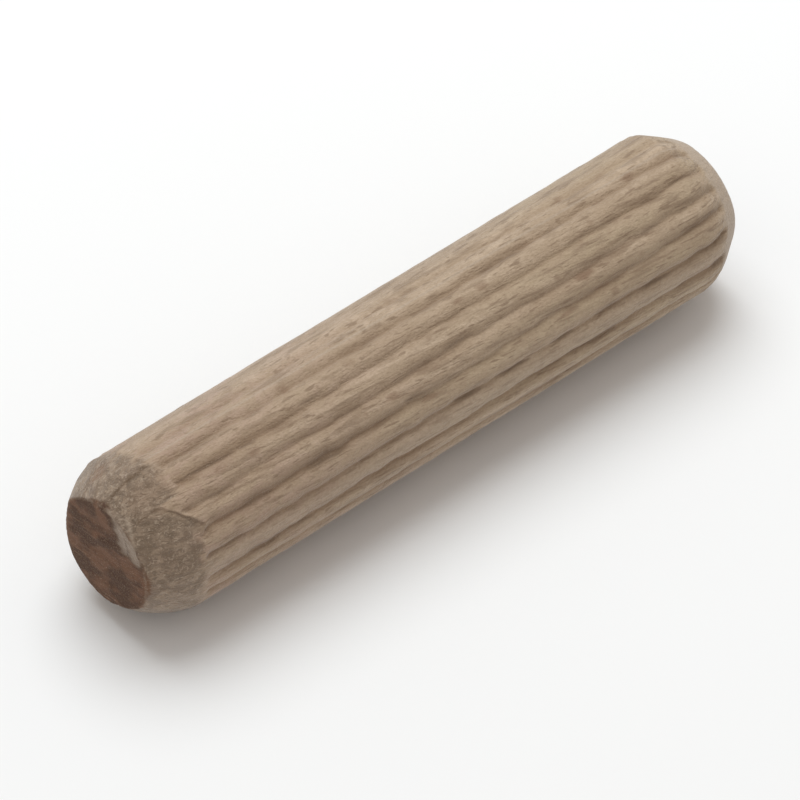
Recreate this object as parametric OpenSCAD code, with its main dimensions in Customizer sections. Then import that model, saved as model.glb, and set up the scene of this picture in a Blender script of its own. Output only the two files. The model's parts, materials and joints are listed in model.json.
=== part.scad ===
// Fluted dowel pin, made from one length of beech.
// It lies along X on two neighbouring ridges, with +Z up. The origin is under its middle, at the surface
// that it rests on. Both ends are alike.

/* [Pin] */
// Diameter across the ridges
pin_d = 8; // [7.6:0.1:9]
// Length over both end faces
pin_len = 35; // [30:1:60]

/* [Ends] */
// Diameter of the flat cut face at each end
face_d = 5.4; // [5:0.1:5.8]
// Length of each end taper, from the cut face to where the ridges start
taper_len = 2.6; // [2.2:0.1:3]
// How far the rounded taper bulges beyond a straight cone
taper_bulge = 0.2; // [0.12:0.01:0.22]

/* [Flutes] */
// Number of straight flutes round the pin
flute_count = 20; // [12:1:20]
// Width of each flute at its mouth
flute_w = 0.58; // [0.5:0.02:0.8]
// Depth of each flute below the ridges
flute_depth = 0.22; // [0.1:0.01:0.25]

/* [Hidden] */
$fn = 96;

pin_r = pin_d / 2;
face_r = face_d / 2;
half_len = pin_len / 2;

// End taper: one arc, from the rim of the cut face to the start of the ridges
taper_drop = pin_r - face_r;
taper_chord = sqrt(pow(taper_drop, 2) + pow(taper_len, 2));
taper_r = (pow(taper_chord / 2, 2) + pow(taper_bulge, 2)) / (2 * taper_bulge);
taper_centre_r = (pin_r + face_r) / 2 - (taper_r - taper_bulge) * taper_len / taper_chord;
taper_centre_x = half_len - taper_len / 2 - (taper_r - taper_bulge) * taper_drop / taper_chord;

// Flutes: round-bottomed grooves, parallel to the axis
rest_h = sqrt(pow(pin_r, 2) - pow(flute_w / 2, 2));
flute_sag = rest_h - (pin_r - flute_depth);
flute_r = (pow(flute_w / 2, 2) + pow(flute_sag, 2)) / (2 * flute_sag);
flute_offset = pin_r - flute_depth + flute_r;

// Half section of the unfluted pin: X is the radius and Y runs along the pin
module half_section() {
    translate([0, -taper_centre_x])
        square([pin_r, 2 * taper_centre_x]);
    for (end = [0, 1])
        mirror([0, end])
            tapered_half();
}

// One half of the section's end, cut round by the taper's arc and square by the end face
module tapered_half() {
    intersection() {
        translate([taper_centre_r, taper_centre_x])
            circle(r = taper_r);
        square([pin_r, half_len]);
    }
}

// All the flutes round an upright pin. The first one is at +X, which faces down once the pin is laid over
module flutes() {
    for (i = [0 : flute_count - 1])
        rotate([0, 0, i * 360 / flute_count])
            translate([flute_offset, 0, 0])
                cylinder(h = pin_len, r = flute_r, center = true);
}

module dowel_pin() {
    color([0.66, 0.57, 0.47])
        translate([0, 0, rest_h])
            rotate([0, 90, 0])
                difference() {
                    rotate_extrude()
                        half_section();
                    flutes();
                }
}

dowel_pin();
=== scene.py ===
"""A fluted beech dowel pin, lying on a pale floor. The pin's lengths are in millimetres until they reach a
Blender mesh or node. The camera's, the floor's and the lamp's are in metres. Angles round the pin are in
degrees, from +Y towards +Z. The near end is the one at -X."""

import json
import math

import bpy
import numpy as np
from mathutils import Matrix, Vector


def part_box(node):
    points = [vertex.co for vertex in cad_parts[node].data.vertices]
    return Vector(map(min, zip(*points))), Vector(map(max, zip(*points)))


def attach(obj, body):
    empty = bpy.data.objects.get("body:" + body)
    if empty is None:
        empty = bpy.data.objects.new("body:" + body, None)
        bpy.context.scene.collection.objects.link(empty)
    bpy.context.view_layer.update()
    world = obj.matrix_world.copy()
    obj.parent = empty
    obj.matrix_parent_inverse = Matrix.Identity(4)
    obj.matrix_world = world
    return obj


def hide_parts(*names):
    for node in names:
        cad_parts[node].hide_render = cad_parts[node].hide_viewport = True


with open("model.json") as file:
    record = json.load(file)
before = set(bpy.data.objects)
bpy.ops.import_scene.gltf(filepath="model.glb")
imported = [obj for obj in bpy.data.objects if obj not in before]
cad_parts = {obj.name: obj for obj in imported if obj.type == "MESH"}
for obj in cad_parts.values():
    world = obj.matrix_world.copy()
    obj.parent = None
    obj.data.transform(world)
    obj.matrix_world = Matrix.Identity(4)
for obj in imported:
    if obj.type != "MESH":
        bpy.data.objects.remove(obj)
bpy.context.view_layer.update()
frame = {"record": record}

MM = 0.001
NODE = "dowel_pin"

# ---- Sizes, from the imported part

shank = next(m for m in frame["record"]["mounts"] if m["name"] == "fluted_shank")
low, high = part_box(NODE)
RIDGE_R = shank["dims"]["r_mm"]
AXIS_Z = shank["pos_m"][2] / MM
LENGTH = (high.x - low.x) / MM
TAPER_LEN = (LENGTH - shank["dims"]["length_mm"]) / 2

# ---- Sizes of the finish

FACE_R = 2.7
TAPER_BULGE = 0.2
RIM_WORN = 0.04
NEAR_RIM_R = 3.0
FLUTES = 20
FLUTE_SPACING = 360 / FLUTES
FLUTE_DEPTH = 0.2

# Where the flutes stop, as distances from the near and the far end.
NEAR_STOP = 2.85
FAR_STOP = 0.85

# The slanting tear at the near stop: the angles where it starts, where it turns back and where it ends.
TEAR_START = 115.5
TEAR_TURN = 140.5
TEAR_END = 147

# The two steps left by the knife on the near taper.
STEP_A_ANGLE = 86.5
STEP_B_ANGLE = 116.5

# The slanting near face: its mean distance from the pin's end, its slope, and the angle of its deepest side.
NEAR_FACE_IN = 0.10
NEAR_FACE_SLOPE = 0.045
NEAR_FACE_TURN = 100

# The direction of the wood's rays across the pin, and how far the grain drifts for each mm along it.
RAY_ANGLE = 167
GRAIN_SLOPE = 0.05

# ---- The mesh: points around the pin, rows along it, and the finish, painted shade and painted highlights that each point carries

COLUMNS = 360
NEAR_ROWS = 52
NEAR_ZONE = 4.2
BODY_STEP = 0.2
FAR_ROWS = 38
FAR_ZONE = 3.0
CAP_STEP = 0.095
FEWEST_IN_RING = 45
CROWDED_SHARE = 0.62
LAYERS = ("end_grain", "cut", "groove_shade", "slit", "fibre_and_highlight", "fleck")

# ---- Repeatable noise on arrays


def lattice(ix, iy, iz, seed):
    """Values from -1 to 1 at whole-number points, which look random and are the same every run."""
    h = ix * 0x8DA6B343 ^ iy * 0xD8163841 ^ iz * 0xCB1AB31F ^ seed * 0x9E3779B9
    h = (h & 0xFFFFFFFF).astype(np.uint64)
    for shift, factor in ((15, 0x2C1B3C6D), (12, 0x297A2D39), (15, 0x2C1B3C6D)):
        h = ((h ^ (h >> np.uint64(shift))) * np.uint64(factor)) & np.uint64(0xFFFFFFFF)
    return h.astype(float) / 2**31 - 1


def noise(x, y, z, seed):
    """Smooth noise from -1 to 1 with features about one unit across."""
    cells, blends = [], []
    for v in np.broadcast_arrays(x, y, z):
        cell = np.floor(v)
        f = v - cell
        cells.append(cell.astype(np.int64))
        blends.append(f * f * (3 - 2 * f))
    total = 0
    for dx in (0, 1):
        for dy in (0, 1):
            for dz in (0, 1):
                share = 1
                for d, f in zip((dx, dy, dz), blends):
                    share = share * (f if d else 1 - f)
                total = total + share * lattice(cells[0] + dx, cells[1] + dy, cells[2] + dz, seed)
    return total


def rough(x, y, z, size, seed, octaves=3):
    """Noise of several sizes, each half as large and half as strong as the one before."""
    total, strength = 0, 1
    for k in range(octaves):
        scale = 2**k / size
        total = total + strength * noise(x * scale, y * scale, z * scale, seed + k)
        strength /= 2
    return total


def grain(x, y, z, along, ray, across, seed):
    """Noise drawn out along the wood's grain and along its rays."""
    turn = math.radians(RAY_ANGLE)
    in_ray = y * math.cos(turn) + z * math.sin(turn)
    over = z * math.cos(turn) - y * math.sin(turn) - GRAIN_SLOPE * x
    return noise(x / along, in_ray / ray, over / across, seed)


def smooth_step(low_edge, high_edge, v):
    """0 at the first edge and 1 at the second, with a smooth rise between them."""
    f = np.clip((v - low_edge) / (high_edge - low_edge), 0, 1)
    return f * f * (3 - 2 * f)


def hump(angle, centre, width):
    """1 at the centre angle, fading to nothing about two widths to either side of it."""
    off = (angle - centre + 180) % 360 - 180
    return np.exp(-((off / width) ** 2))


# ---- The camera, at the photograph's viewing angle

VIEW_AZIMUTH = math.radians(-39.68)
VIEW_ELEVATION = math.radians(47.61)
VIEW_DISTANCE = 344 * MM
VIEW_WIDTH = 36.28 * MM
AIM_RIGHT = -0.31 * MM
AIM_UP = -1.25 * MM


def add_camera():
    """Look at the pin from its near end, its front and above."""
    back = Vector((
        math.sin(VIEW_AZIMUTH) * math.cos(VIEW_ELEVATION),
        -math.cos(VIEW_AZIMUTH) * math.cos(VIEW_ELEVATION),
        math.sin(VIEW_ELEVATION),
    ))
    right = Vector((math.cos(VIEW_AZIMUTH), math.sin(VIEW_AZIMUTH), 0))
    up = back.cross(right)
    middle = Vector((0, 0, AXIS_Z * MM))
    target = middle + right * AIM_RIGHT + up * AIM_UP
    data = bpy.data.cameras.new("camera")
    data.lens = data.sensor_width * VIEW_DISTANCE / VIEW_WIDTH
    data.clip_start = 0.01
    camera = bpy.data.objects.new("camera", data)
    turn = Matrix((right, up, back)).transposed().to_4x4()
    camera.matrix_world = Matrix.Translation(target + back * VIEW_DISTANCE) @ turn
    bpy.context.scene.collection.objects.link(camera)
    bpy.context.scene.camera = camera


# ---- The shape of the pin's side


def taper_radius(d):
    """Radius of the plain pin at a distance d from an end: a bulging taper, then the ridges."""
    drop = RIDGE_R - FACE_R
    chord = math.hypot(drop, TAPER_LEN)
    bend = ((chord / 2) ** 2 + TAPER_BULGE**2) / (2 * TAPER_BULGE)
    slope = math.atan2(drop, TAPER_LEN)
    centre_d = TAPER_LEN / 2 + (bend - TAPER_BULGE) * math.sin(slope)
    centre_r = (RIDGE_R + FACE_R) / 2 - (bend - TAPER_BULGE) * math.cos(slope)
    inside = np.clip(d, 0, TAPER_LEN)
    return centre_r + np.sqrt(bend**2 - (centre_d - inside) ** 2)


def flutes(x, angle):
    """Depth of the flutes below the ridges, and the painted shade in each flute, strongest near its bottom.
    """
    turn = (angle - 2.2 * hump(angle, 92, 56)) / 360 * FLUTES
    index = np.round(turn) % FLUTES
    own = lattice(index.astype(np.int64), 0, 0, 12)
    wander = 0.045 * noise(x / 7, index * 3.7, 0, 11) + 0.02 * own
    wander = wander + 0.075 * noise(x / 0.8, index * 1.9, 0, 10)
    side = (turn - wander + 0.5) % 1 - 0.5
    off = np.abs(side) * 2
    lobe = 1 - np.sin(math.pi / 2 * np.minimum(off * 1.12, 1))
    flat = 1 - smooth_step(0, 0.46, off)
    resting = hump(angle, 270, 20)
    shallow = 1 - 0.95 * hump(angle, 50, 30) + 0.3 * hump(angle, 172, 26)
    depth = FLUTE_DEPTH * (0.95 + 0.25 * noise(x / 4, index * 2.3, 0, 14)) * shallow
    cut = depth * (lobe * (1 - resting) + flat * resting)
    # Painted shade in each flute: broader on one side, fainter round 62 and 128 degrees, stronger round 172
    # to 182 degrees.
    near = np.clip(1 - off, 0, 1)
    steep = 1.8 + hump(angle, 172, 26)
    groove_shade = np.where(side < 0, near**1.1, near**steep) * (0.8 + 0.5 * noise(x / 3, index * 4.1, 0, 15))
    groove_shade = groove_shade * (1 - 0.75 * hump(angle, 62, 20) - 0.3 * hump(angle, 128, 8) * smooth_step(-6, 6, x))
    groove_shade = groove_shade * (1 + 0.7 * hump(angle, 182, 9))
    return cut, np.clip(groove_shade, 0, 1)


def flute_start(angle):
    """Distance from the near end at which the flutes break off: a ragged ring, with one slanting tear."""
    ring = NEAR_STOP + 0.14 * noise(angle / 7, 0.3, 0, 31) + 0.07 * noise(angle / 2.2, 0.7, 0, 32)
    ring = ring - 0.35 * hump(angle, 45, 30) - 0.3 * hump(angle, 185, 14)
    share = (angle - TEAR_START) / (TEAR_TURN - TEAR_START)
    tear = 1.86 + share * 1.5 + 0.04 * noise(angle / 2.5, 0.1, 0, 33)
    back = 3.36 - (angle - TEAR_TURN) / 4 * 0.3
    ring = np.where((angle > TEAR_START) & (angle < TEAR_TURN), tear, ring)
    return np.where((angle >= TEAR_TURN) & (angle < TEAR_END), np.maximum(back, ring), ring)


def near_rim_depth(angle, radius):
    """How far the slanting near face lies in from the pin's end."""
    lean = NEAR_FACE_SLOPE * radius * np.cos(np.radians(angle - NEAR_FACE_TURN))
    return np.maximum(NEAR_FACE_IN + lean, 0.01)


# The angles of the corners between the flat knife cuts.
FACET_EDGES = (28, 84, 117, 166, 207, 243, 282, 322, 388)


def facets(angle):
    """How far flat knife cuts lie below a round surface, for a surface of radius 1."""
    sunk = np.zeros_like(angle)
    for start, end in zip(FACET_EDGES, FACET_EDGES[1:]):
        middle, half = (start + end) / 2, (end - start) / 2
        off = (angle - middle + 180) % 360 - 180
        flat = 1 - math.cos(math.radians(half)) / np.cos(np.radians(np.clip(off, -half, half)))
        sunk = np.where(np.abs(off) <= half, flat, sunk)
    return sunk


def near_end(x, d, angle, y, z):
    """Radius and finish of the rough, knife-cut near taper, up to where the flutes break off, with painted
    shade along its two knife steps.
    """
    plain = taper_radius(d)
    rim = np.clip(1 - d / 2.3, 0, 1)
    wave = 0.32 * hump(angle, 307, 37) + 0.08 * hump(angle, 345, 22) - 0.15 * hump(angle, 245, 16)
    wave = wave - 0.07 * hump(angle, 222, 16)
    full = 0.13 * hump(angle, 32, 24) * smooth_step(2.6, 2.0, d)
    inner = smooth_step(0.3, 0.8, d)
    edge_a = STEP_A_ANGLE + 1.1 * noise(d * 1.4, 0.2, 0, 41) + 0.4 * noise(d * 7, 0.2, 0, 42)
    edge_b = STEP_B_ANGLE + 0.9 * noise(d * 1.9, 0.5, 0, 43)
    step_a = smooth_step(-0.7, 0.7, angle - edge_a) * np.clip(1 - (angle - edge_a) / 90, 0, 1)
    step_b = smooth_step(-0.7, 0.7, angle - edge_b) * np.clip(1 - (angle - edge_b) / 70, 0, 1)
    sunk = 0.045 * step_a * inner + 0.035 * step_b * inner
    ragged = 0.04 * rough(x, y, z, 0.42, 51, 3) + 0.045 * rough(x, y, z, 0.19, 55, 1)
    calm = 0.35 + 0.65 * hump(angle, 122, 42)
    held = smooth_step(1.2, 2.5, d) * 0.03 * hump(angle, 128, 40)
    radius = plain + full + wave * rim**1.5 - 0.2 * facets(angle) * plain - sunk - held + ragged * calm
    # Painted shade: dark lines along the two knife steps.
    lines = np.exp(-(((angle - edge_a) / 0.9) ** 2)) * smooth_step(0.5, 0.8, d) * smooth_step(3.0, 2.5, d)
    second = np.exp(-(((angle - edge_b) / 1.0) ** 2)) * smooth_step(0.7, 1.0, d) * smooth_step(2.1, 1.9, d)
    patch = 0.84 + 0.14 * smooth_step(-1, 1, angle - edge_a) * smooth_step(170, 150, angle)
    patch = patch - 0.12 * smooth_step(-1, 1, angle - edge_b) * smooth_step(172, 150, angle)
    return radius, np.maximum(0.8 * lines, 0.8 * second), patch


def far_end(d, angle):
    """Radius of the smoother far taper."""
    rim = np.clip(1 - d / 1.9, 0, 1)
    wave = 0.14 * hump(angle, 125, 40) - 0.09 * hump(angle, 205, 38)
    full = 0.19 * hump(angle, 50, 44) * smooth_step(2.7, 2.1, d)
    corner = 0.06 * np.exp(-(((d - 1.7) / 0.5) ** 2)) - 0.03 * np.exp(-(((d - 0.6) / 0.4) ** 2))
    return np.minimum(taper_radius(d) + wave * rim + full + corner, RIDGE_R)


def rim_fibres(angle, from_rim):
    """Pale frayed wood along the near rim."""
    reach = 0.10 + 0.42 * hump(angle, 112, 17) + 0.1 * noise(angle / 5, 0.4, 0, 61)
    reach = reach + 0.06 * noise(angle / 1.6, 0.6, 0, 62)
    band = 1 - smooth_step(0.5, 1.0, from_rim / np.maximum(reach, 0.05))
    strength = 0.25 + 0.65 * hump(angle, 115, 24) + 0.3 * hump(angle, 155, 14)
    threads = 0.75 + 0.6 * noise((angle + 60 * from_rim) / 5, from_rim / 0.7, 0, 68)
    return np.clip(band * strength * threads, 0, 1)


# Dark strokes along the grain: start and end in mm from the near end, angle, strength.
STROKES = (
    (3.1, 6.6, 109, 0.8), (6.6, 7.7, 110.5, 0.7), (10.2, 11.8, 107, 0.6), (5.0, 7.2, 145.5, 0.7),
    (8.9, 11.2, 147, 0.9), (11.3, 13.0, 127.4, 0.6), (14.8, 16.1, 142, 0.6), (17.1, 18.9, 162, 0.9),
    (19.7, 21.8, 162.6, 1.0), (22.8, 24.4, 162, 0.8), (28.2, 30.2, 163.5, 0.9), (23.1, 26.3, 180, 0.9),
    (7.1, 8.9, 181, 0.7), (22.5, 24.0, 92.6, 0.7), (25.3, 26.7, 92.4, 0.6), (17.6, 19.6, 125.6, 0.6),
    (31.6, 33.4, 110, 0.5), (32.4, 33.7, 141, 0.5), (29.2, 30.5, 128, 0.5), (12.2, 14.0, 187, 0.6),
    (3.3, 6.2, 128.5, 0.5), (3.2, 6.0, 92.5, 0.4), (2.9, 5.5, 162.5, 0.5), (3.0, 5.5, 181, 0.5),
)
# Rust-brown flecks: middle in mm from the near end, angle, half length in mm, half width in degrees,
# strength.
FLECKS = (
    (1.35, 57, 0.50, 6.0, 0.8), (10.3, 91, 0.30, 4.0, 0.6), (14.4, 134, 0.45, 2.5, 0.7),
    (16.2, 148, 0.50, 2.0, 0.6), (19.8, 102, 0.28, 2.0, 0.7), (21.2, 102, 0.33, 3.0, 0.6),
    (25.8, 131.5, 0.45, 3.5, 0.9), (24.3, 148, 0.50, 2.0, 0.7), (30.7, 88, 0.35, 4.0, 0.8),
    (27.4, 72.5, 0.22, 3.5, 0.6), (8.4, 93, 0.60, 1.6, 0.6), (26.9, 152, 0.22, 2.5, 0.6),
    (4.4, 145, 0.60, 1.5, 0.6), (29.8, 74, 0.30, 3.0, 0.4), (5.3, 116, 0.35, 2.5, 0.5),
    (7.2, 118, 0.35, 3.0, 0.6),
)


def dark_strokes(d, angle):
    """How dark each point is from the strokes in the table."""
    total = np.zeros(np.broadcast(d, angle).shape)
    for start, end, place, strength in STROKES:
        middle, half = (start + end) / 2, (end - start) / 2
        along = np.clip(1 - ((d - middle) / half) ** 2, 0, 1)
        off = angle - place - 0.5 * (d - middle) - 0.6 * noise(d / 0.6, place, 0, 26)
        total = np.maximum(total, strength * np.sqrt(along) * np.exp(-((off / (0.65 + 0.65 * along)) ** 2)))
    return total


def ray_flecks(d, angle):
    """How rusty each point is from the flecks in the table."""
    total = np.zeros(np.broadcast(d, angle).shape)
    for place, centre, length, width, strength in FLECKS:
        reach = ((d - place) / length) ** 2 + ((angle - centre) / width) ** 2
        edge = reach + 0.6 * noise(d / 0.25, angle / 2, place, 27)
        total = np.maximum(total, strength * smooth_step(1.3, 0.4, edge))
    return total


def raised_grain(x, y, z, d):
    """How far the grain lifts the surface, which is a little more in the near part."""
    lift = 0.018 * noise(x / 5, y / 1.5, z / 1.5, 21) + 0.012 * grain(x, y, z, 1.3, 0.5, 0.17, 22)
    return lift + 0.009 * grain(x, y, z, 0.4, 0.3, 0.2, 23) * (1 + 0.8 * smooth_step(12, 3, d))


def dark_slits(x, y, z, d, angle, groove_shade, fluted):
    """Slits along the grain: faint ones anywhere, short ones in the hollows, and the strokes in the table."""
    slit = smooth_step(0.5, 0.85, grain(x, y, z, 0.9, 0.6, 0.12, 24))
    strokes = smooth_step(0.1, 0.6, noise(x / 1.1, np.round(angle / FLUTE_SPACING), 0, 25)) * groove_shade**3
    return np.maximum(np.maximum(slit * 0.2, 0.55 * strokes), dark_strokes(d, angle)) * fluted


def rim_end_grain(angle, from_rim):
    """The dark end grain that runs a little way over the near rim."""
    bleed = 0.12 + 0.07 * noise(angle / 6, 0.9, 0, 64)
    bleed = bleed + 0.26 * hump(angle, 82, 14) + 0.22 * hump(angle, 172, 16)
    return 1 - smooth_step(0.3, 1.0, from_rim / np.maximum(bleed, 0.03))


def highlights_and_pale_edges(d, angle, start, stop, groove_shade, fluted, tear_shade):
    """Painted highlights along two ridges, and pale wood where the ridges break off and on the smooth far
    rim.
    """
    far = LENGTH - d
    # Painted highlights: a thin line on an upper ridge, and a broader one round 171 degrees.
    ridge_highlight = 0.75 * np.exp(-(((angle - 81.5 - 0.12 * d) / 0.8) ** 2)) * fluted * smooth_step(0.8, 1.2, far)
    ridge_highlight = np.maximum(ridge_highlight, 0.4 * (1 - groove_shade) * hump(angle, 171, 7) * fluted)
    broken = np.exp(-(((d - start - 0.12) / 0.14) ** 2)) * (1 - groove_shade) * hump(angle, 125, 42)
    broken = broken * smooth_step(-0.1, 0.4, noise(angle / 2.5, 0.3, 0, 65)) * (1 - tear_shade)
    clean = 0.7 * smooth_step(0.15, -0.1, far - stop + 0.1 * noise(angle / 3, 0.8, 0, 66))
    return np.maximum(np.maximum(ridge_highlight, 0.5 * broken), clean)


def side_surface(d, angle):
    """Points of the pin's side, with their finish, painted shade and painted highlights, at distances d from
    the near end of the pin.
    """
    x = d - LENGTH / 2
    turn = np.radians(angle)
    y, z = RIDGE_R * np.cos(turn), RIDGE_R * np.sin(turn)
    far = LENGTH - d
    cut, groove_shade = flutes(x, angle)
    start = flute_start(angle)
    soft = 1 + 5 * hump(angle, 40, 30) + 4 * hump(angle, 172, 24)
    fluted = smooth_step(-0.06, 0.05, (d - start) / soft)
    stop = FAR_STOP + 0.7 * smooth_step(140, 190, angle) * smooth_step(330, 300, angle)
    full = smooth_step(-0.05, 0.45, d - start) * smooth_step(-0.1, 0.35, far - stop)
    slit = dark_slits(x, y, z, d, angle, groove_shade, fluted)
    # More painted shade in the flute at 108 degrees, in the near part.
    groove_shade = np.clip(groove_shade + 0.45 * smooth_step(14, 4, d) * hump(angle, 108, 6), 0, 1)
    plain = np.where(far < d, far_end(far, angle), taper_radius(d))
    ridge = plain + raised_grain(x, y, z, d) - 0.02 - cut * full - 0.035 * slit
    knife, line, patch = near_end(x, d, angle, y, z)
    radius = knife * (1 - fluted) + ridge * fluted
    # Painted shade along the slanting tear, where the flutes break off.
    tear_shade = np.exp(-(((d - start) / 0.055) ** 2)) * hump(angle, 128, 15) * smooth_step(115, 117, angle)
    from_rim = d - near_rim_depth(angle, NEAR_RIM_R)
    frayed = rim_fibres(angle, from_rim)
    radius = radius + 0.05 * frayed * (0.5 + noise(angle / 1.5, from_rim / 0.5, 0, 63))
    # Pale edges, with the painted highlights along two ridges.
    pale = highlights_and_pale_edges(d, angle, start, stop, groove_shade, fluted, tear_shade)
    dirt = (1 - fluted) * hump(angle, 103, 10) * smooth_step(0.6, 1.2, d)
    radius = np.where(fluted > 0.5, np.minimum(radius, RIDGE_R), radius)
    finish = {
        "end_grain": np.clip(rim_end_grain(angle, from_rim) * (1 - frayed), 0, 1),
        "cut": smooth_step(0.25, -0.4, d - start + 0.25 * noise(angle / 4, d / 0.4, 0, 67)) * patch,
        "groove_shade": groove_shade * full,
        "fleck": np.maximum(ray_flecks(d, angle), 0.3 * dirt),
        # The slit layer also carries the painted shade along the knife steps and the tear.
        "slit": np.clip(np.maximum(slit, np.maximum(line * (1 - fluted), 0.95 * tear_shade)), 0, 1),
        # Frayed fibres, and the painted highlights along two ridges.
        "fibre_and_highlight": np.clip(np.maximum(0.7 * frayed, pale), 0, 1),
    }
    points = np.stack(np.broadcast_arrays(x, radius * np.cos(turn), radius * np.sin(turn) + AXIS_Z), axis=-1)
    return points, finish


# ---- The shape of the end faces


def near_face(y, z, radius, angle, share):
    """How far each point of the sawn near face lies in from the pin's end, and its finish."""
    turn = math.radians(RAY_ANGLE)
    in_ray = y * math.cos(turn) + z * math.sin(turn)
    over = z * math.cos(turn) - y * math.sin(turn)
    marks = 0.035 * noise(in_ray / 2.4, over / 0.3, 0, 71) + 0.014 * noise(in_ray / 0.8, over / 0.12, 0, 72)
    marks = marks + 0.03 * noise(in_ray / 0.9, over / 0.9, 0, 73)
    worn = RIM_WORN * smooth_step(0.93, 1.0, share)
    inside = 1 - share**12
    edge = 1.85 + 0.95 * ((angle - 126) / 27) ** 2 + 0.28 * noise(in_ray / 0.5, over / 0.16, 0, 74)
    chip = smooth_step(-0.25, 0.45, radius - edge) * (np.abs(angle - 126) < 60)
    depth = near_rim_depth(angle, radius) + (marks - 0.02) * inside + worn + 0.03 * chip
    threads = 0.45 + 0.7 * noise((angle + 40 * radius) / 6, radius / 0.8, 0, 75)
    finish = {"end_grain": 1 - 0.7 * chip, "cut": 0.9, "fibre_and_highlight": np.clip(chip**2 * threads, 0, 0.4)}
    return np.maximum(depth, 0), finish


def far_face(y, z, radius, angle, share):
    """How far each point of the plain far face lies in from the pin's end, and its finish."""
    marks = 0.012 * noise(y / 0.3, z / 1.6, 0, 81) + 0.012
    worn = RIM_WORN * smooth_step(0.93, 1.0, share)
    return marks * (1 - share**12) + worn, {"end_grain": 0.9}


def cap(rim, first, count, outward, face, points, layers, faces):
    """Fill an end with rings of points, which are halved in number as they get smaller."""
    middle = np.array([0, 0, AXIS_Z])
    around = rim - middle
    radius = np.hypot(around[:, 1], around[:, 2])
    angle = np.degrees(np.arctan2(around[:, 2], around[:, 1])) % 360
    steps = int(FACE_R / CAP_STEP)
    outer = np.arange(first, first + len(rim))
    keep = np.arange(len(rim))
    for i in range(1, steps + 1):
        share = 1 - i / (steps + 1)
        halve = len(keep) > FEWEST_IN_RING and len(keep) * CROWDED_SHARE > len(rim) * share
        if halve:
            keep = keep[::2]
        r, a = radius[keep] * share, angle[keep]
        y, z = r * np.cos(np.radians(a)), r * np.sin(np.radians(a))
        depth, finish = face(y, z, r, a, np.full_like(r, share))
        ring = np.stack([outward * (LENGTH / 2 - depth), y, z + AXIS_Z], axis=1)
        points.append(ring)
        add_layers(layers, finish, len(ring))
        inner = np.arange(count, count + len(ring))
        count += len(ring)
        join_rings(faces, outer, inner, halve, outward)
        outer = inner
    depth, finish = face(*(np.zeros(1) for _ in range(5)))
    points.append(np.array([[outward * (LENGTH / 2 - depth[0]), 0, AXIS_Z]]))
    add_layers(layers, finish, 1)
    for k in range(len(outer)):
        triangle = (outer[k], outer[(k + 1) % len(outer)], count)
        faces.append(triangle if outward > 0 else triangle[::-1])
    return count + 1


def join_rings(faces, outer, inner, halve, outward):
    """Faces between two rings of an end. The inner ring may have half as many points."""
    n = len(inner)
    for k in range(n):
        m = (k + 1) % n
        if halve:
            a, b, c = outer[2 * k], outer[2 * k + 1], outer[(2 * k + 2) % len(outer)]
            made = [(a, b, inner[k]), (b, inner[m], inner[k]), (b, c, inner[m])]
        else:
            made = [(outer[k], outer[m], inner[m], inner[k])]
        faces.extend(face if outward > 0 else face[::-1] for face in made)


def add_layers(layers, finish, count):
    """Store the finish of new points. A layer that isn't given is 0."""
    for name in LAYERS:
        layers[name].append(np.broadcast_to(finish.get(name, 0.0), (count,)).astype(float))


# ---- The pin's mesh


def side_rows(angle):
    """Distances of the rows from the near end. The first rows follow the slanting face."""
    rim = near_rim_depth(angle, NEAR_RIM_R) + RIM_WORN
    near = [rim + (NEAR_ZONE - rim) * i / NEAR_ROWS for i in range(NEAR_ROWS)]
    span = LENGTH - NEAR_ZONE - FAR_ZONE
    count = round(span / BODY_STEP)
    body = [np.full_like(angle, NEAR_ZONE + span * i / count) for i in range(count)]
    reach = FAR_ZONE - RIM_WORN
    far = [np.full_like(angle, LENGTH - FAR_ZONE + reach * i / FAR_ROWS) for i in range(FAR_ROWS + 1)]
    return np.array(near + body + far)


def build_pin():
    """The whole pin as one closed mesh, with its layers of finish, painted shade and painted highlights."""
    columns = np.arange(COLUMNS) * 360 / COLUMNS
    d = side_rows(columns)
    grid, finish = side_surface(d, np.broadcast_to(columns, d.shape))
    rows = len(d)
    points = [grid.reshape(-1, 3)]
    layers = {name: [finish[name].reshape(-1)] for name in LAYERS}
    faces = []
    for i in range(rows - 1):
        for j in range(COLUMNS):
            k = (j + 1) % COLUMNS
            faces.append((i * COLUMNS + j, i * COLUMNS + k, (i + 1) * COLUMNS + k, (i + 1) * COLUMNS + j))
    count = rows * COLUMNS
    count = cap(grid[0], 0, count, -1, near_face, points, layers, faces)
    cap(grid[-1], (rows - 1) * COLUMNS, count, 1, far_face, points, layers, faces)
    mesh = bpy.data.meshes.new("beech_pin")
    mesh.from_pydata((np.vstack(points) * MM).tolist(), [], [tuple(int(v) for v in face) for face in faces])
    mesh.polygons.foreach_set("use_smooth", [True] * len(mesh.polygons))
    for name in LAYERS:
        stored = mesh.attributes.new(name, "FLOAT", "POINT")
        stored.data.foreach_set("value", np.concatenate(layers[name]).astype(np.float32))
    pin = bpy.data.objects.new("beech_pin", mesh)
    bpy.context.scene.collection.objects.link(pin)
    return pin


# ---- Help with materials


def put(tree, socket, value):
    """Link a socket, or set a plain number or colour."""
    if isinstance(value, bpy.types.NodeSocket):
        tree.links.new(value, socket)
    elif isinstance(value, tuple):
        socket.default_value = (*value, 1)
    else:
        socket.default_value = value


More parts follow.
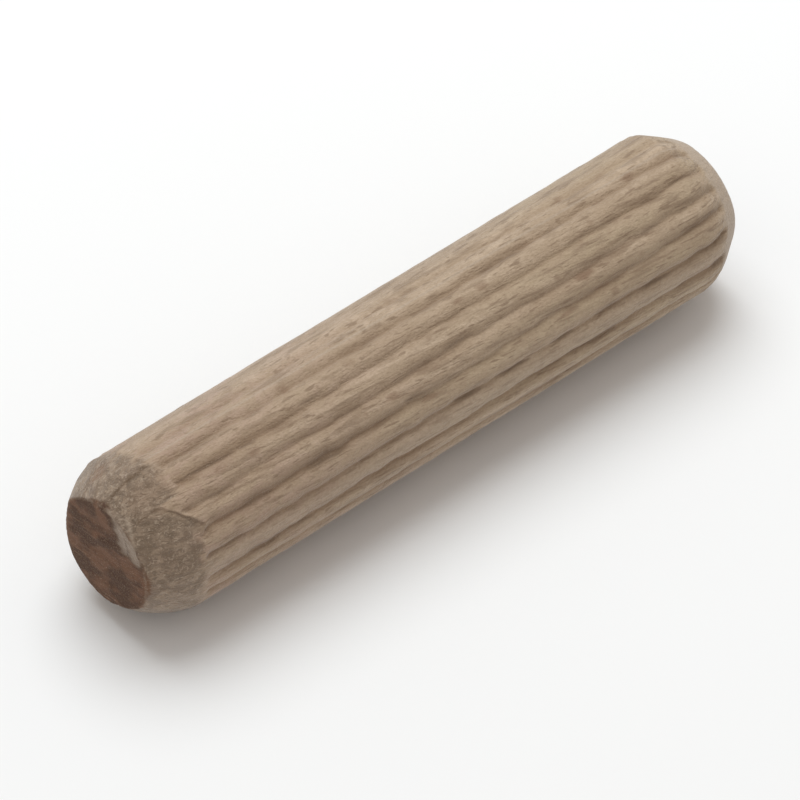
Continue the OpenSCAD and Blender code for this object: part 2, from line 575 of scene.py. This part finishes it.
def grain_noise(tree, size, detail=2.0, place=0.0, wave=0.0):
    """Noise drawn out along the grain. The three sizes, in mm, are along the grain, along the rays, and
    across both."""
    turn = math.radians(RAY_ANGLE)
    coords = tree.nodes.new("ShaderNodeTexCoord")
    mapping = tree.nodes.new("ShaderNodeMapping")
    mapping.vector_type = "TEXTURE"
    mapping.inputs["Location"].default_value = (place * MM, 0, 0)
    mapping.inputs["Rotation"].default_value = (
        turn,
        -GRAIN_SLOPE * math.cos(turn),
        -GRAIN_SLOPE * math.sin(turn),
    )
    mapping.inputs["Scale"].default_value = [v * MM for v in size]
    tree.links.new(coords.outputs["Object"], mapping.inputs["Vector"])
    texture = tree.nodes.new("ShaderNodeTexNoise")
    texture.inputs["Scale"].default_value = 1
    texture.inputs["Detail"].default_value = detail
    texture.inputs["Distortion"].default_value = wave
    tree.links.new(mapping.outputs["Vector"], texture.inputs["Vector"])
    return texture.outputs["Fac"]


def spread(tree, value, low_edge, high_edge, top=1.0, bottom=0.0):
    """Turn the range between two values into a smooth rise from bottom to top."""
    node = tree.nodes.new("ShaderNodeMapRange")
    node.interpolation_type = "SMOOTHSTEP"
    tree.links.new(value, node.inputs["Value"])
    node.inputs["From Min"].default_value = low_edge
    node.inputs["From Max"].default_value = high_edge
    node.inputs["To Min"].default_value = bottom
    node.inputs["To Max"].default_value = top
    return node.outputs["Result"]


def maths(tree, kind, first, second):
    """The sum, product or other result of two values."""
    node = tree.nodes.new("ShaderNodeMath")
    node.operation = kind
    put(tree, node.inputs[0], first)
    put(tree, node.inputs[1], second)
    return node.outputs[0]


# The places of a mix node's colour sockets.
MIX_FIRST = 6
MIX_SECOND = 7
MIX_RESULT = 2


def blend(tree, share, first, second):
    """A colour between two others. The share is how much of the second there is."""
    node = tree.nodes.new("ShaderNodeMix")
    node.data_type = "RGBA"
    put(tree, node.inputs[0], share)
    put(tree, node.inputs[MIX_FIRST], first)
    put(tree, node.inputs[MIX_SECOND], second)
    return node.outputs[MIX_RESULT]


def layer(tree, name):
    """One of the layers of finish, painted shade and painted highlights kept on the mesh."""
    node = tree.nodes.new("ShaderNodeAttribute")
    node.attribute_name = name
    return node.outputs["Fac"]


def along_pin(tree, start, end):
    """0 before one place along the pin and 1 after another, in mm from its middle."""
    coords = tree.nodes.new("ShaderNodeTexCoord")
    split = tree.nodes.new("ShaderNodeSeparateXYZ")
    tree.links.new(coords.outputs["Object"], split.inputs["Vector"])
    return spread(tree, split.outputs["X"], start * MM, end * MM)


# ---- Materials

WOOD_PALE = (0.510, 0.390, 0.278)
WOOD_MID = (0.400, 0.295, 0.200)
WOOD_PINK = (0.410, 0.284, 0.214)
WOOD_YELLOW = (0.425, 0.325, 0.212)
WOOD_BROWN = (0.235, 0.160, 0.102)
# Colour of the painted shade in the flutes.
GROOVE_SHADE_BROWN = (0.252, 0.163, 0.098)
RUST = (0.225, 0.136, 0.083)
CUT_GREY = (0.292, 0.215, 0.151)
CUT_BROWN = (0.160, 0.112, 0.075)
CUT_DARK = (0.165, 0.118, 0.080)
# Dark slits, and the painted shade along the knife steps and the tear.
SLIT_AND_SHADE_DARK = (0.125, 0.076, 0.043)
END_BROWN = (0.175, 0.088, 0.052)
END_DARK = (0.085, 0.043, 0.026)
END_STREAK = (0.270, 0.165, 0.108)
# Pale fibres, and the painted highlights along two ridges.
FIBRE_AND_HIGHLIGHT_PALE = (0.430, 0.340, 0.258)
SHEEN = 0.3
BUMP_HEIGHT = 0.06


def wood_colour(tree):
    """Long grain: soft streaks, fine fibres, rust flecks and short dark dashes."""
    streaks = spread(tree, grain_noise(tree, (9, 1.6, 0.30), 3.0), 0.36, 0.64)
    colour = blend(tree, streaks, WOOD_PALE, WOOD_MID)
    yellow = spread(tree, grain_noise(tree, (22, 4, 1.1), 1.0, 7), 0.42, 0.62, 0.6)
    colour = blend(tree, yellow, colour, WOOD_YELLOW)
    pinker = spread(tree, grain_noise(tree, (4, 2, 0.7), 2.0, 3), 0.35, 0.6, top=0.9, bottom=0.3)
    colour = blend(tree, maths(tree, "MULTIPLY", pinker, near_part(tree)), colour, WOOD_PINK)
    fibres = spread(tree, grain_noise(tree, (0.8, 0.3, 0.08), 3.0, 5, 0.6), 0.47, 0.75, 0.34)
    colour = blend(tree, fibres, colour, WOOD_BROWN)
    scales = spread(tree, grain_noise(tree, (1.0, 0.7, 0.4), 3.0, 9, 0.8), 0.42, 0.58, 0.7)
    colour = blend(tree, scales, colour, WOOD_MID)
    stripes = spread(tree, grain_noise(tree, (2.4, 0.6, 0.20), 1.5, 12, 0.3), 0.53, 0.69, 0.6)
    colour = blend(tree, stripes, colour, WOOD_BROWN)
    flecks = spread(tree, grain_noise(tree, (0.8, 0.9, 0.5), 1.5, 11), 0.64, 0.78, 0.35)
    colour = blend(tree, flecks, colour, RUST)
    dashes = spread(tree, grain_noise(tree, (0.9, 0.25, 0.10), 1.0, 13, 0.3), 0.60, 0.70, 0.75)
    colour = blend(tree, dashes, colour, WOOD_BROWN)
    return blend(tree, veins(tree), colour, WOOD_BROWN)


def veins(tree):
    """Thin curved lines where the surface was torn, mostly in the near part."""
    field = grain_noise(tree, (1.6, 0.8, 0.42), 1.5, 15, 0.5)
    distance = maths(tree, "ABSOLUTE", maths(tree, "SUBTRACT", field, 0.5), 0.0)
    line = spread(tree, distance, 0.0, 0.022, top=0.0, bottom=0.55)
    gaps = spread(tree, grain_noise(tree, (0.9, 0.7, 0.6), 1.0, 21), 0.45, 0.6)
    share = maths(tree, "ADD", maths(tree, "MULTIPLY", near_part(tree), 0.8), 0.4)
    return maths(tree, "MULTIPLY", maths(tree, "MULTIPLY", line, gaps), share)


def near_part(tree):
    """How much each point belongs to the near, pinker part of the pin."""
    return maths(tree, "SUBTRACT", 1.0, along_pin(tree, -16, 4))


def cut_colour(tree):
    """The mottled, greyer wood of the knife-cut taper."""
    mottle = spread(tree, grain_noise(tree, (0.8, 0.6, 0.45), 4.0, 17, 0.6), 0.38, 0.62)
    colour = blend(tree, mottle, CUT_GREY, CUT_BROWN)
    specks = spread(tree, grain_noise(tree, (0.32, 0.26, 0.2), 3.0, 19, 0.8), 0.50, 0.64, 0.95)
    colour = blend(tree, specks, colour, CUT_DARK)
    colour = blend(tree, maths(tree, "MULTIPLY", veins(tree), 1.4), colour, CUT_DARK)
    pale = spread(tree, grain_noise(tree, (0.2, 0.18, 0.15), 2.0, 22, 0.8), 0.56, 0.68, 0.6)
    return blend(tree, pale, colour, FIBRE_AND_HIGHLIGHT_PALE)


def end_colour(tree):
    """Dark end grain, streaked along the rays."""
    patches = spread(tree, grain_noise(tree, (3, 1.5, 0.8), 2.0, 23), 0.42, 0.60)
    colour = blend(tree, patches, END_DARK, END_BROWN)
    streaks = spread(tree, grain_noise(tree, (3, 1.8, 0.11), 1.0, 29), 0.64, 0.76, 0.55)
    colour = blend(tree, streaks, colour, END_STREAK)
    lines = spread(tree, grain_noise(tree, (3, 0.7, 0.08), 2.0, 31), 0.52, 0.68, 0.55)
    return blend(tree, lines, colour, END_DARK)


def finished_colour(tree, fuzz):
    """The long grain, with the mesh's layers of finish, painted shade and painted highlights, and the fine
    fuzz laid over it.
    """
    colour = blend(tree, layer(tree, "cut"), wood_colour(tree), cut_colour(tree))
    # Painted shade in the flutes, a little stronger in the near part.
    depth = maths(tree, "ADD", maths(tree, "MULTIPLY", near_part(tree), 0.12), 0.66)
    # The slit layer also holds painted shade along the knife steps and the tear.
    stains = (("groove_shade", depth, GROOVE_SHADE_BROWN), ("fleck", 0.85, RUST), ("slit", 0.85, SLIT_AND_SHADE_DARK))
    for name, strength, stain in stains:
        colour = blend(tree, maths(tree, "MULTIPLY", layer(tree, name), strength), colour, stain)
    colour = blend(tree, layer(tree, "end_grain"), colour, end_colour(tree))
    # Pale fibres, with the painted highlights along two ridges.
    colour = blend(tree, layer(tree, "fibre_and_highlight"), colour, FIBRE_AND_HIGHLIGHT_PALE)
    colour = blend(tree, spread(tree, fuzz, 0.42, 0.72, 0.28), colour, WOOD_BROWN)
    specks = grain_noise(tree, (0.09, 0.07, 0.06), 1.0, 43)
    pale = maths(tree, "MULTIPLY", spread(tree, specks, 0.60, 0.72, 0.35), near_part(tree))
    return blend(tree, pale, colour, FIBRE_AND_HIGHLIGHT_PALE)


def fibre_bump(tree, fuzz):
    """The small relief of fuzz and threads."""
    threads = grain_noise(tree, (0.7, 0.14, 0.07), 2.0, 41)
    bump = tree.nodes.new("ShaderNodeBump")
    bump.inputs["Strength"].default_value = 0.9
    bump.inputs["Distance"].default_value = BUMP_HEIGHT * MM
    height = maths(tree, "ADD", fuzz, maths(tree, "MULTIPLY", threads, 0.7))
    tree.links.new(height, bump.inputs["Height"])
    return bump.outputs["Normal"]


def make_beech():
    """Raw beech. Its faint sheen fades out on the end grain."""
    material = bpy.data.materials.new("raw_beech")
    material.use_nodes = True
    tree = material.node_tree
    shader = tree.nodes["Principled BSDF"]
    shader.inputs["Specular IOR Level"].default_value = 0.3
    shader.inputs["Sheen Roughness"].default_value = 0.5
    fuzz = grain_noise(tree, (0.14, 0.1, 0.08), 3.0, 37)
    sheen = spread(tree, layer(tree, "end_grain"), 0.2, 0.9, top=0.0, bottom=SHEEN)
    tree.links.new(sheen, shader.inputs["Sheen Weight"])
    tree.links.new(finished_colour(tree, fuzz), shader.inputs["Base Color"])
    tree.links.new(spread(tree, fuzz, 0.3, 0.7, top=0.9, bottom=0.74), shader.inputs["Roughness"])
    tree.links.new(fibre_bump(tree, fuzz), shader.inputs["Normal"])
    return material


def make_floor_paint():
    """Plain pale paint for the floor."""
    material = bpy.data.materials.new("pale_floor")
    material.use_nodes = True
    shader = material.node_tree.nodes["Principled BSDF"]
    shader.inputs["Base Color"].default_value = FLOOR_COLOUR
    shader.inputs["Roughness"].default_value = 0.9
    return material


# ---- The floor and the light

FLOOR_HALF = 1.5
FLOOR_COLOUR = (0.88, 0.88, 0.88, 1)
SKY_COLOUR = (1.0, 0.957, 0.918, 1)
SKY_STRENGTH = 0.56
LAMP_PLACE = (0.06, 0.12, 0.30)
LAMP_SIZE = 0.3
LAMP_POWER = 0.83
LAMP_COLOUR = (0.92, 0.972, 1.0)


def add_floor():
    """A flat floor, which is part of the stage and not of the pin."""
    mesh = bpy.data.meshes.new("floor")
    half = FLOOR_HALF
    corners = [(-half, -half, 0), (half, -half, 0), (half, half, 0), (-half, half, 0)]
    mesh.from_pydata(corners, [], [(0, 1, 2, 3)])
    floor = bpy.data.objects.new("floor", mesh)
    bpy.context.scene.collection.objects.link(floor)
    floor.data.materials.append(make_floor_paint())


def add_light():
    """A warm, even sky and one large, cooler lamp above and behind the pin."""
    world = bpy.data.worlds.new("studio")
    world.use_nodes = True
    background = world.node_tree.nodes["Background"]
    background.inputs["Color"].default_value = SKY_COLOUR
    background.inputs["Strength"].default_value = SKY_STRENGTH
    bpy.context.scene.world = world
    data = bpy.data.lights.new("softbox", "AREA")
    data.shape = "DISK"
    data.size = LAMP_SIZE
    data.energy = LAMP_POWER
    data.color = LAMP_COLOUR
    light = bpy.data.objects.new("softbox", data)
    place = Vector(LAMP_PLACE)
    light.location = place
    light.rotation_euler = (-place).to_track_quat("-Z", "Y").to_euler()
    bpy.context.scene.collection.objects.link(light)
    bpy.context.scene.view_settings.view_transform = "Standard"


add_camera()
add_floor()
add_light()
pin = build_pin()
pin.data.materials.append(make_beech())
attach(pin, "root")
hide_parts(NODE)
